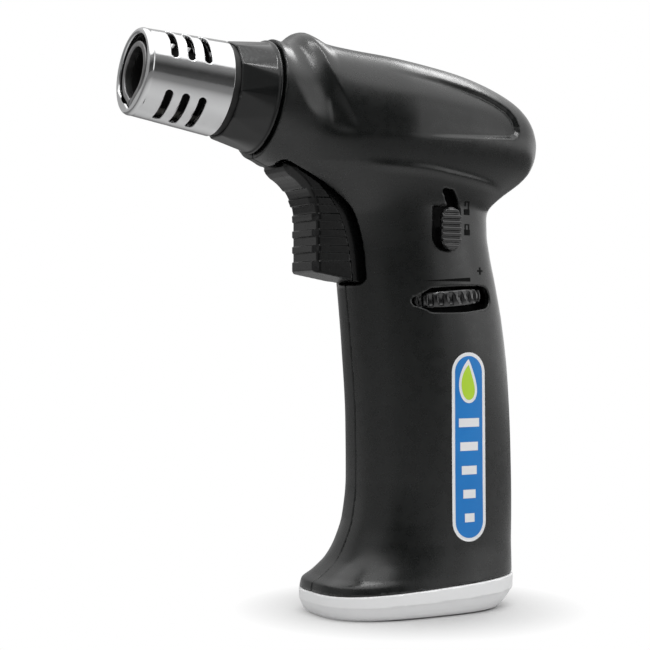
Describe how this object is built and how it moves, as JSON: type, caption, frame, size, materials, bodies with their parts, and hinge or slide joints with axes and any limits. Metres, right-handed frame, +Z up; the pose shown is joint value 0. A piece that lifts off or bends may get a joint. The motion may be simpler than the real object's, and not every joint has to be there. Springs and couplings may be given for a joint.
{
  "type": "butane torch",
  "caption": "Pistol-grip butane torch with a slotted metal nozzle guard, ribbed trigger, flame lock, gas wheel and a silver base.",
  "frame": {"origin": "on the underside of the base, in the torch's middle plane, below the grip", "axes": "+X is the way the flame points, +Y the torch's left side, where the lock and the gas wheel are, +Z up"},
  "size_m": [0.1241, 0.0404, 0.1603],
  "materials": {
    "shell_plastic": "satin-gloss moulded black",
    "collar_plastic": "gloss moulded black",
    "control_plastic": "satin moulded black",
    "black_ring": "matte heat-proof black",
    "inner_plastic": "moulded dark grey",
    "white_plastic": "moulded white",
    "tank_plastic": "smoky moulded tank",
    "polished_metal": "polished",
    "base_silver": "satin silver plating",
    "burner_grey": "heat-greyed steel",
    "steel": "satin",
    "screw_steel": "dark zinc",
    "brass": "machined",
    "ceramic": "glazed ceramic",
    "seal_rubber": "matte",
    "hose_silicone": "milky silicone",
    "wire_jacket": "red jacket"
  },
  "bodies": {
    "handle": {"shell_left": "shell_plastic", "shell_right": "shell_plastic", "base_cap": "base_silver", "nozzle_guard": "polished_metal", "front_collar": "collar_plastic", "spacer_ring": "black_ring", "burner_tube": "burner_grey", "flame_grid": "brass", "burner_flange": "steel", "jet_holder": "brass", "gas_jet": "brass", "spark_electrode": "steel", "electrode_sleeve": "ceramic", "ignition_wire": "wire_jacket", "piezo_body": "inner_plastic", "piezo_holder": "inner_plastic", "trigger_spring": "steel", "outlet_valve_body": "brass", "stem_seal": "seal_rubber", "lever_pin": "steel", "gas_hose": "hose_silicone", "fuel_tank": "tank_plastic", "tank_floor": "tank_plastic", "tank_seal": "seal_rubber", "fill_valve_body": "brass", "fill_valve_spring": "steel", "fill_valve_seal": "seal_rubber", "shell_screws": "screw_steel", "base_screws": "screw_steel"},
    "trigger_unit": {"trigger": "control_plastic", "piezo_plunger": "white_plastic"},
    "lever": {"valve_lever": "steel"},
    "gas_stem": {"outlet_valve_stem": "brass"},
    "wheel": {"gas_wheel": "control_plastic"},
    "lock": {"lock_button": "control_plastic"},
    "fill_stem": {"fill_valve_stem": "white_plastic"}
  },
  "joints": [
    {"name": "trigger_slide", "type": "slide", "parent": "handle", "child": "trigger_unit", "axis": [-1, 0, 0], "range_m": [0, 0.007], "stiffness_N_per_m": 1200, "springref_m": -0.003, "deforming": ["trigger_spring"]},
    {"name": "lever_swing", "type": "hinge", "parent": "handle", "child": "lever", "pos_m": [-0.017, 0, 0.097], "axis": [0, -1, 0], "range_deg": [0, 4.7]},
    {"name": "stem_lift", "type": "slide", "parent": "handle", "child": "gas_stem", "axis": [0.0819, 0, 0.9966], "range_m": [0, 0.0011], "deforming": ["gas_hose"]},
    {"name": "wheel_turn", "type": "hinge", "parent": "handle", "child": "wheel", "pos_m": [-0.0045, 0.002, 0.0875], "axis": [0.0819, 0, 0.9966], "range_deg": [-135, 135]},
    {"name": "lock_slide", "type": "slide", "parent": "handle", "child": "lock", "axis": [0, 0, 1], "range_m": [0, 0.0045]},
    {"name": "fill_press", "type": "slide", "parent": "handle", "child": "fill_stem", "axis": [0, 0, 1], "range_m": [0, 0.0015], "stiffness_N_per_m": 800, "springref_m": -0.001, "deforming": ["fill_valve_spring"]}
  ],
  "couplings": [
    {"joint": "lever_swing", "follows": "trigger_slide", "rad_per_m": 11.5},
    {"joint": "stem_lift", "follows": "trigger_slide", "ratio": 0.153}
  ]
}
